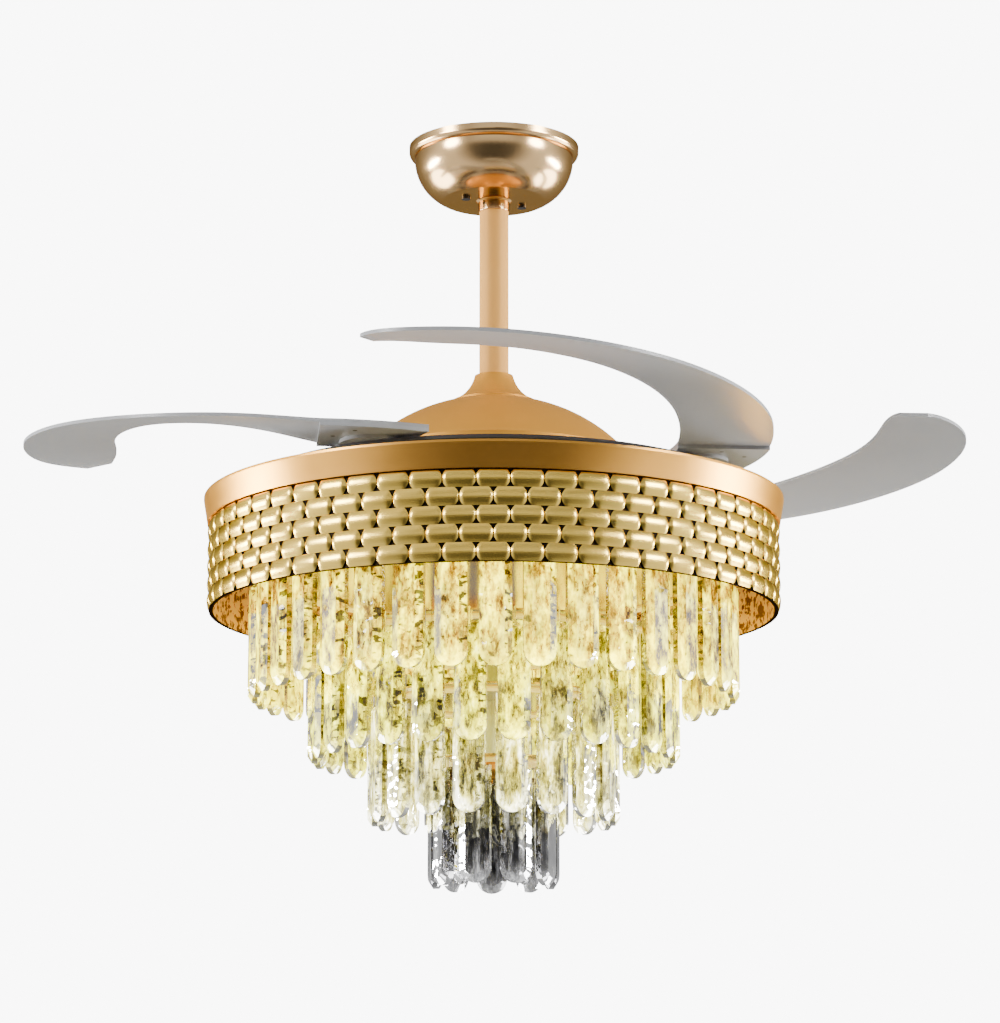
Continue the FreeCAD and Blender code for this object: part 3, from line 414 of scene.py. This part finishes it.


# Crystal glass, its light and shade painted in. For each tier: the tones of its flat faces, painted
# refractions, and the painted glow of the lamp's light in them, both from dark to bright, the colours of its
# bevels, painted highlights, and of its seams, painted shade, how strongly it glows, the share of its faces
# that may stay uncoloured, how clear it is, and the grains to the metre of its mottling.

TIER_GLASS = (
    {
        "tones": (
            (0.34, (0.10, 0.04, 0.0)),
            (0.40, (0.62, 0.36, 0.0)),
            (0.46, (1.0, 0.78, 0.0)),
            (0.56, (1.0, 0.91, 0.0)),
            (0.66, (1.0, 0.96, 0.14)),
        ),
        "lights": (
            (0.42, BLACK),
            (0.48, (0.17, 0.12, 0.0)),
            (0.54, (0.46, 0.41, 0.0)),
            (0.61, (0.80, 0.72, 0.0)),
            (0.70, (1.0, 0.93, 0.06)),
        ),
        "bevel": (1.0, 0.88, 0.12),
        "seam_shade": (0.42, 0.27, 0.0),
        "glow": 6.4,
        "bare": 0.50,
        "clear": 0.50,
        "grains": (105.0, 105.0, 46.0),
    },
    {
        "tones": (
            (0.37, (0.02, 0.018, 0.004)),
            (0.43, (0.24, 0.21, 0.01)),
            (0.49, (0.90, 0.82, 0.0)),
            (0.57, (0.98, 0.95, 0.10)),
            (0.67, (1.0, 0.96, 0.55)),
        ),
        "lights": (
            (0.46, BLACK),
            (0.51, (0.15, 0.135, 0.0)),
            (0.56, (0.43, 0.42, 0.0)),
            (0.62, (0.78, 0.76, 0.03)),
            (0.70, (0.99, 0.97, 0.22)),
        ),
        "bevel": (1.0, 0.92, 0.30),
        "seam_shade": (0.28, 0.23, 0.01),
        "glow": 5.6,
        "bare": 0.75,
        "clear": 0.58,
        "grains": (105.0, 105.0, 46.0),
    },
    {
        "tones": (
            (0.34, (0.03, 0.03, 0.02)),
            (0.40, (0.24, 0.22, 0.09)),
            (0.47, (0.90, 0.84, 0.26)),
            (0.56, (1.0, 0.97, 0.55)),
            (0.65, (1.0, 1.0, 0.92)),
        ),
        "lights": (
            (0.45, BLACK),
            (0.51, (0.14, 0.12, 0.01)),
            (0.58, (0.50, 0.47, 0.14)),
            (0.67, (1.0, 0.98, 0.76)),
        ),
        "bevel": (0.98, 0.96, 0.66),
        "seam_shade": (0.26, 0.24, 0.12),
        "glow": 5.6,
        "bare": 0.55,
        "clear": 0.70,
        "grains": (120.0, 120.0, 30.0),
    },
    {
        "tones": (
            (0.43, (0.004, 0.004, 0.005)),
            (0.50, (0.05, 0.05, 0.055)),
            (0.56, (0.30, 0.30, 0.31)),
            (0.62, (0.80, 0.80, 0.83)),
            (0.70, WHITE),
        ),
        "lights": ((0.58, BLACK), (0.72, (0.50, 0.50, 0.50))),
        "bevel": (0.95, 0.95, 0.97),
        "seam_shade": (0.10, 0.10, 0.11),
        "glow": 0.8,
        "bare": 0.0,
        "clear": 0.86,
        "grains": (130.0, 130.0, 16.0),
    },
)

# Tones of the uncoloured patches, painted grey and white refractions, and of the dark dots, painted shade in
# seams and on bevels and painted dark refractions on faces

BARE_TONES = (
    (0.40, (0.02, 0.02, 0.018)),
    (0.46, (0.22, 0.21, 0.17)),
    (0.53, (0.78, 0.76, 0.70)),
    (0.62, WHITE),
)
SEAM_DOT_SHADE = (0.015, 0.010, 0.003)
BEAD_SHADE = (0.006, 0.004, 0.0)
SPECK_DARK = (0.03, 0.02, 0.0)

# How squarely a face looks outwards where rims turn into bevels and bevels into flats, and how far it turns
# aside where a bevel's shaded side starts, which takes painted shade

BEVEL_SPAN = (0.10, 0.40)
FLAT_SPAN = (0.78, 0.86)
SHADED_SIDE_SPAN = (0.20, 0.45)

# Share of a bar's length that the painted highlight at its foot takes, how much it covers there, and what it
# adds to the painted glow

FOOT_HIGHLIGHT_SHARE = 0.22
FOOT_HIGHLIGHT_COVER = 0.6
FOOT_HIGHLIGHT_LIFT = 0.09

# Grains to the metre of the painted glints, the dots of painted shade in seams, the beads of painted shade on
# a bevel's shaded side, the bare patches and the specks, painted refractions, and the noise between which
# each of them fades in

GLINT_GRAINS, GLINT_SPAN = (150.0, 150.0, 40.0), (0.40, 0.58)
DOT_GRAINS, DOT_SPAN = (60.0, 60.0, 260.0), (0.42, 0.58)
BEAD_GRAINS, BEAD_SPAN = (90.0, 90.0, 190.0), (0.52, 0.58)
BARE_GRAINS, BARE_SPAN = (24.0, 24.0, 7.0), (0.48, 0.60)
SPECK_GRAIN, SPECK_SPAN = 230.0, (0.66, 0.72)

# How far painted glints sway the painted glow, and how much of it bare patches, specks and beads of shade
# take away

GLINT_SWAY = 0.16
BARE_LOSS = 0.80
SPECK_LOSS = 0.85
BEAD_LOSS = 0.9


def crystal_glass(tier):
    """Cut glass with painted light and shade: flats mottled with painted refractions, bevels with painted
    highlights, seams dotted with painted shade, most yellow in the upper tiers.
    """
    look = TIER_GLASS[tier - 1]
    top = CRYSTAL_TOPS[tier - 1]
    make = Finish(f"crystal_{tier}")

    across, along, up = make.axes()
    side, ahead, _ = make.axes(make.node("ShaderNodeTexCoord", out="Normal"))
    radius = from_axis(across, along)
    outward = (side * across + ahead * along) / radius
    facing = outward * outward
    bevel = make.rise(facing, *BEVEL_SPAN)
    flat = make.rise(facing, *FLAT_SPAN)
    # One side of each bevel, turned the same way round the ring, takes painted shade
    shaded_side = make.rise((ahead * across - side * along) / radius, *SHADED_SIDE_SPAN)
    # The lowest share of each bar takes a painted highlight
    foot = 1.0 - make.rise(up, top - CRYSTAL_LENGTH, top - (1.0 - FOOT_HIGHLIGHT_SHARE) * CRYSTAL_LENGTH)

    mottle = make.streaks(look["grains"], 4.0, 0.74)
    # Glints: painted highlights on the bevels, which also sway the painted glow
    glint = make.streaks(GLINT_GRAINS, 3.0, 0.65)
    # Dots of painted shade in the seams, and beads of painted shade on the bevels' shaded sides
    dots = make.rise(make.streaks(DOT_GRAINS, 2.0), *DOT_SPAN)
    beads = shaded_side * make.rise(make.streaks(BEAD_GRAINS, 2.0), *BEAD_SPAN)
    # Bare patches and specks: painted refractions, grey and white in the one and dark in the other
    bare = look["bare"] * make.rise(make.streaks(BARE_GRAINS, 1.0), *BARE_SPAN)
    speck = make.rise(make.noise(SPECK_GRAIN, 1.0), *SPECK_SPAN)

    # Painted shade on the rims and between the glints on the bevels, painted highlights at the glints and at
    # the foot, painted refractions on the flats
    seams = make.blend(dots, SEAM_DOT_SHADE, look["seam_shade"])
    bevels = make.blend(make.rise(glint, *GLINT_SPAN), look["seam_shade"], look["bevel"])
    bevels = make.blend(beads, bevels, BEAD_SHADE)
    flats = make.blend(bare, make.ramp(mottle, *look["tones"]), make.ramp(mottle, *BARE_TONES))
    flats = make.blend(SPECK_LOSS * speck, flats, SPECK_DARK)
    colour = make.blend(flat, make.blend(bevel, seams, bevels), flats)
    colour = make.blend(FOOT_HIGHLIGHT_COVER * foot, colour, look["bevel"])

    # Painted glow of the lamp's light: off the rims, dimmed where bare patches, specks and shade beads lie,
    # swayed by the glints and raised at the foot
    shine = make.ramp(mottle + GLINT_SWAY * (glint - 0.5) + FOOT_HIGHLIGHT_LIFT * foot, *look["lights"])
    shown = bevel * (1.0 - BARE_LOSS * bare) * (1.0 - SPECK_LOSS * speck) * (1.0 - BEAD_LOSS * beads)
    glass = make.surface(
        Base_Color=colour,
        Roughness=0.02 + 0.04 * make.noise(120.0),
        IOR=1.52,
        Transmission_Weight=look["clear"],
        Emission_Color=make.blend(shown, BLACK, shine),
        Emission_Strength=look["glow"],
        Normal=make.bump(make.noise(90.0, 1.0), 0.45, GLASS_RELIEF),
    )
    return make.done(glass)


# Pieces


def new_piece(name, corners, faces, finish, slot, body, *nodes):
    """A mesh piece that rides on a body and stands for some of its nodes."""
    mesh = bpy.data.meshes.new(name)
    mesh.from_pydata(corners, [], faces)
    mesh.validate()
    mesh.materials.append(finish)
    piece = bpy.data.objects.new(name, mesh)
    bpy.context.scene.collection.objects.link(piece)
    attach(piece, body)
    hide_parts(*nodes)
    return piece


def tongue(inset):
    """A bar's outline from the front, square at the top and round at the foot, drawn in by an inset."""
    half = CRYSTAL_WIDTH / 2 - inset
    centre = -CRYSTAL_LENGTH + CRYSTAL_WIDTH / 2
    points = [(half, -inset)]
    for step in range(FOOT_STEPS + 1):
        angle = -math.pi * step / FOOT_STEPS
        points.append((half * math.cos(angle), centre + half * math.sin(angle)))
    points.append((-half, -inset))
    return points


def one_crystal():
    """Corners and faces of a bar bevelled all round on both sides, standing at the origin and facing +X."""
    wide = tongue(0.0)
    slim = tongue(CRYSTAL_BEVEL)
    layers = (
        (-CRYSTAL_DEPTH / 2, slim),
        (-CRYSTAL_RIM / 2, wide),
        (CRYSTAL_RIM / 2, wide),
        (CRYSTAL_DEPTH / 2, slim),
    )
    count = len(wide)
    corners = [Vector((depth, across, up)) for depth, ring in layers for across, up in ring]
    back = tuple(range(count - 1, -1, -1))
    front = tuple(range(len(corners) - count, len(corners)))
    faces = [back, front]
    for low in range(0, len(corners) - count, count):
        high = low + count
        for index in range(count):
            following = (index + 1) % count
            faces.append((low + index, low + following, high + following, high + index))
    return corners, faces


def hang_crystals(tier, glass):
    """One ring of bars round the vertical axis."""
    corners, faces = one_crystal()
    all_corners, all_faces = [], []
    count = TIER_COUNTS[tier - 1]
    out = Matrix.Translation((TIER_RADII[tier - 1], 0.0, CRYSTAL_TOPS[tier - 1]))
    for index in range(count):
        spin = Matrix.Rotation(math.radians(TIER_TURNS[tier - 1] + 360.0 * index / count), 4, "Z")
        start = len(all_corners)
        all_corners += [spin @ out @ corner for corner in corners]
        all_faces += [tuple(start + corner for corner in face) for face in faces]
    name = f"tier_{tier}_bars"
    new_piece(name, all_corners, all_faces, glass, "crystal", "hanging_lamp", f"tier_{tier}_crystals")


def round_drum(radius, angle, height):
    """A point round the vertical axis."""
    return (radius * math.cos(angle), radius * math.sin(angle), height)


def brick_corners(row, brick):
    """The grid of corners of a pillow-shaped brick whose round ends leave gaps beside it, where the backing's
    painted shade shows.
    """
    course = (BAND_HIGH - BAND_LOW) / BAND_ROWS
    pitch = 2 * math.pi / BAND_BRICKS
    middle = pitch * (brick + 0.5 * (row % 2))
    corners = []
    for line in range(BRICK_LINES + 1):
        v = -1 + 2 * line / BRICK_LINES
        end = 1 - BRICK_END_SHARE * v * v
        for column in range(BRICK_COLUMNS + 1):
            u = -1 + 2 * column / BRICK_COLUMNS
            crown = (1 - v * v) * (1 - abs(u) ** BRICK_CROWN_POWER) ** 0.5
            lift = BRICK_EDGE_SHARE + (1 - BRICK_EDGE_SHARE) * crown
            radius = BAND_BASE + (BAND_CREST - BAND_BASE) * lift
            angle = middle + u * end * pitch / 2
            height = BAND_LOW + course * (row + 0.5 + 0.5 * v)
            corners.append(round_drum(radius, angle, height))
    return corners


def brick_faces(start):
    """The faces of a brick whose first corner has the number start."""
    wide = BRICK_COLUMNS + 1
    faces = []
    for line in range(BRICK_LINES):
        for column in range(BRICK_COLUMNS):
            first = start + line * wide + column
            faces.append((first, first + 1, first + wide + 1, first + wide))
    return faces


def add_strip(corners, faces, *edges):
    """A strip all round the drum between two edges, each a radius and a height."""
    start = len(corners)
    for step in range(BACKING_STEPS):
        angle = 2 * math.pi * step / BACKING_STEPS
        corners += [round_drum(radius, angle, height) for radius, height in edges]
        first = start + 2 * step
        second = start + 2 * ((step + 1) % BACKING_STEPS)
        faces.append((first, second, second + 1, first + 1))


def lay_bricks(finish):
    """Staggered courses of bricks, with the backing behind them and the band's lip below."""
    corners, faces = [], []
    for row in range(BAND_ROWS):
        for brick in range(BAND_BRICKS):
            faces += brick_faces(len(corners))
            corners += brick_corners(row, brick)
    # The lip below the band's foot lies wholly in the band's painted shade: a dark ring along its lower edge
    add_strip(corners, faces, (BAND_LIP, BAND_FOOT), (BAND_SEAM, BAND_FOOT))
    add_strip(corners, faces, (BAND_BASE, BAND_LOW), (BAND_BASE, BAND_HIGH))
    name = "brick_band"
    band = new_piece(name, corners, faces, finish, "patterned_gold", "hanging_lamp", "pattern_band")
    band.data.polygons.foreach_set("use_smooth", [True] * len(faces))


# Finishes of the solids: light and dark tone, and roughness

PLAIN_METALS = {
    "bright_wire": ((0.86, 0.84, 0.80), (0.74, 0.72, 0.68), 0.12),
    "mirror_steel": ((0.46, 0.33, 0.12), (0.36, 0.24, 0.07), 0.10),
    "zinc_steel": ((0.64, 0.65, 0.66), (0.50, 0.51, 0.52), 0.30),
    "dark_screws": ((0.10, 0.09, 0.08), (0.05, 0.045, 0.04), 0.30),
    "magnet": ((0.34, 0.34, 0.35), (0.24, 0.24, 0.25), 0.35),
}
PLAIN_COATS = {
    "dark_alloy": ((0.040, 0.036, 0.033), (0.022, 0.020, 0.019), 0.40),
    "dark_steel": ((0.050, 0.048, 0.046), (0.030, 0.029, 0.028), 0.42),
    "black_nylon": ((0.035, 0.035, 0.035), (0.02, 0.02, 0.02), 0.45),
    "white_plastic": ((0.84, 0.84, 0.82), (0.78, 0.78, 0.75), 0.40),
    "white_paint": ((0.95, 0.82, 0.45), (0.88, 0.74, 0.38), 0.35),
}

# Paints of the rod and the dome: light and dark tone, and how metallic, then how dense the smoky plastics are

ROD_PAINT = ((0.78, 0.40, 0.095), (0.72, 0.35, 0.075), 0.1)
DOME_PAINT = ((0.66, 0.31, 0.04), (0.60, 0.26, 0.03), 0.45)
BLADE_COVER = 0.78
BRACKET_COVER = 0.86


def mix_finishes(glass):
    """A finish for each material slot of the record."""
    finishes = {
        "polished_gold": polished_gold(),
        "satin_gold": satin_gold(),
        "patterned_gold": patterned_gold(),
        "lined_gold": lined_gold(),
        "smoked_acrylic": smoked_acrylic("smoked_acrylic", BLADE_COVER),
        "grey_bracket": smoked_acrylic("grey_bracket", BRACKET_COVER),
        "crystal": glass,
        "lamp_boards": lamp_boards(),
        "lamination": laminated_steel(),
        "copper": wound_copper(),
    }
    for name, look in PLAIN_METALS.items():
        finishes[name] = plain_metal(name, *look)
    for name, look in PLAIN_COATS.items():
        finishes[name] = plain_coat(name, *look)
    return finishes


def dress_solids(finishes):
    """Give each node its slot's finish, and the painted pieces and the lamp's driver one of their own."""
    dome = warm_paint("dome_paint", *DOME_PAINT)
    own = {
        "downrod": warm_paint("rod_paint", *ROD_PAINT),
        "motor_cover": dome,
        "coupling_cover": dome,
        "led_driver": finishes["dark_alloy"],
    }
    for entry in frame["record"]["subparts"]:
        name = entry["node"]
        node = frame["nodes"][name]
        node.data.materials.clear()
        node.data.materials.append(own.get(name, finishes[entry["material_slot"]]))


# Stage: the floor, then each lamp's name, its place on the right, what it faces, its two widths and its watts

FLOOR_LEVEL = -2.7
FLOOR_REACH = 15.0
LAMPS = (
    ("high_box", (2.1, -1.1, 0.45), (0.0, 0.0, -0.35), (0.9, 0.7), 50.0),
    ("side_box", (2.45, 0.50, -0.48), (0.0, 0.0, -0.35), (1.2, 0.35), 80.0),
    ("low_box", (1.9, 0.95, -1.5), (0.0, 0.0, -0.1), (1.7, 1.5), 72.0),
)

# Greys of the room from behind the viewer to behind the fan, then of its high and low front and of what is
# underfoot. These parts fade between two directions, along +Y for the front and along +Z for the others.

ROOM_GREYS = ((0.0, 0.03), (0.08, 0.06), (0.26, 0.42), (0.50, 0.40), (0.70, 0.20), (0.90, 0.13), (1.0, 0.16))
HIGH_FRONT_GREY = 0.36
LOW_FRONT_GREY = 0.02
UNDERFOOT_GREY = 0.05
FRONT_SPAN = (-0.95, -0.60)
HIGH_SPAN = (-0.02, 0.25)
LOW_SPAN = (-0.60, -0.20)
UNDERFOOT_SPAN = (-0.97, -0.75)
ROOM_STRENGTH = 2.4
BACKDROP_STRENGTH = 9.0

# Camera: its place, how far it looks up in degrees, and its sensor and lens in millimetres

VIEW_PLACE = (0.0054, -2.991, -0.956)
VIEW_TILT = 11.76
VIEW_SENSOR = 36.0
VIEW_LENS = 125.2
VIEW_REACH = 60.0


def lay_floor():
    """A pale floor at a room's height under the ceiling, which only the eye meets, so it adds no light."""
    mesh = bpy.data.meshes.new("floor")
    square = ((-1, -1), (1, -1), (1, 1), (-1, 1))
    corners = [(x * FLOOR_REACH, y * FLOOR_REACH, FLOOR_LEVEL) for x, y in square]
    mesh.from_pydata(corners, [], [(0, 1, 2, 3)])
    mesh.materials.append(pale_floor())
    floor = bpy.data.objects.new("floor", mesh)
    floor.visible_diffuse = False
    floor.visible_glossy = False
    floor.visible_transmission = False
    floor.visible_shadow = False
    bpy.context.scene.collection.objects.link(floor)


def soft_box(name, place, target, size, watts):
    """An oval studio lamp that faces a point."""
    lamp = bpy.data.lights.new(name, "AREA")
    lamp.shape = "ELLIPSE"
    lamp.size, lamp.size_y = size
    lamp.energy = watts
    holder = bpy.data.objects.new(name, lamp)
    holder.location = place
    holder.rotation_euler = (Vector(target) - Vector(place)).to_track_quat("-Z", "Y").to_euler()
    bpy.context.scene.collection.objects.link(holder)


def grey(level):
    return (level, level, level)


def light_world():
    """A studio bright at its sides, dark behind the viewer and below, in front of a white backdrop."""
    make = Finish("studio", bpy.data.worlds)
    _, along, up = make.axes(make.node("ShaderNodeTexCoord", out="Generated"))
    room = make.ramp(0.5 + 0.5 * along, *((reach, grey(level)) for reach, level in ROOM_GREYS))
    front = 1.0 - make.rise(along, *FRONT_SPAN)
    high = make.rise(up, *HIGH_SPAN)
    low = 1.0 - make.rise(up, *LOW_SPAN)
    above_feet = make.rise(up, *UNDERFOOT_SPAN)
    room = make.blend(front * high, room, grey(HIGH_FRONT_GREY))
    room = make.blend(front * low, room, grey(LOW_FRONT_GREY))
    room = make.blend(above_feet, grey(UNDERFOOT_GREY), room)
    walls = make.node("ShaderNodeBackground", None, {"Color": room, "Strength": ROOM_STRENGTH})
    white = {"Color": opaque(WHITE), "Strength": BACKDROP_STRENGTH}
    backdrop = make.node("ShaderNodeBackground", None, white)
    seen = make.node("ShaderNodeLightPath", out="Is Camera Ray")
    shown = make.node("ShaderNodeMixShader", None, {"Fac": seen, 1: walls, 2: backdrop})
    bpy.context.scene.world = make.done(shown, "ShaderNodeOutputWorld")


def set_stage():
    """The studio round the fan, with soft lamps in pairs at its sides."""
    light_world()
    lay_floor()
    for hand, side in (("left", -1.0), ("right", 1.0)):
        for name, (across, along, up), target, size, watts in LAMPS:
            soft_box(f"{hand}_{name}", (side * across, along, up), target, size, watts)


def set_camera():
    """The photograph's view: about three metres off, below the lamp and looking up a little."""
    lens = bpy.data.cameras.new("photo_view")
    lens.sensor_fit = "HORIZONTAL"
    lens.sensor_width = VIEW_SENSOR
    lens.lens = VIEW_LENS
    lens.clip_end = VIEW_REACH
    viewer = bpy.data.objects.new("photo_view", lens)
    viewer.location = VIEW_PLACE
    viewer.rotation_euler = (math.radians(90.0 + VIEW_TILT), 0.0, 0.0)
    bpy.context.scene.collection.objects.link(viewer)
    bpy.context.scene.camera = viewer


set_camera()
glasses = [crystal_glass(tier) for tier in TIERS]
finishes = mix_finishes(glasses[0])
dress_solids(finishes)
for tier, glass in zip(TIERS, glasses):
    hang_crystals(tier, glass)
lay_bricks(finishes["patterned_gold"])
set_stage()
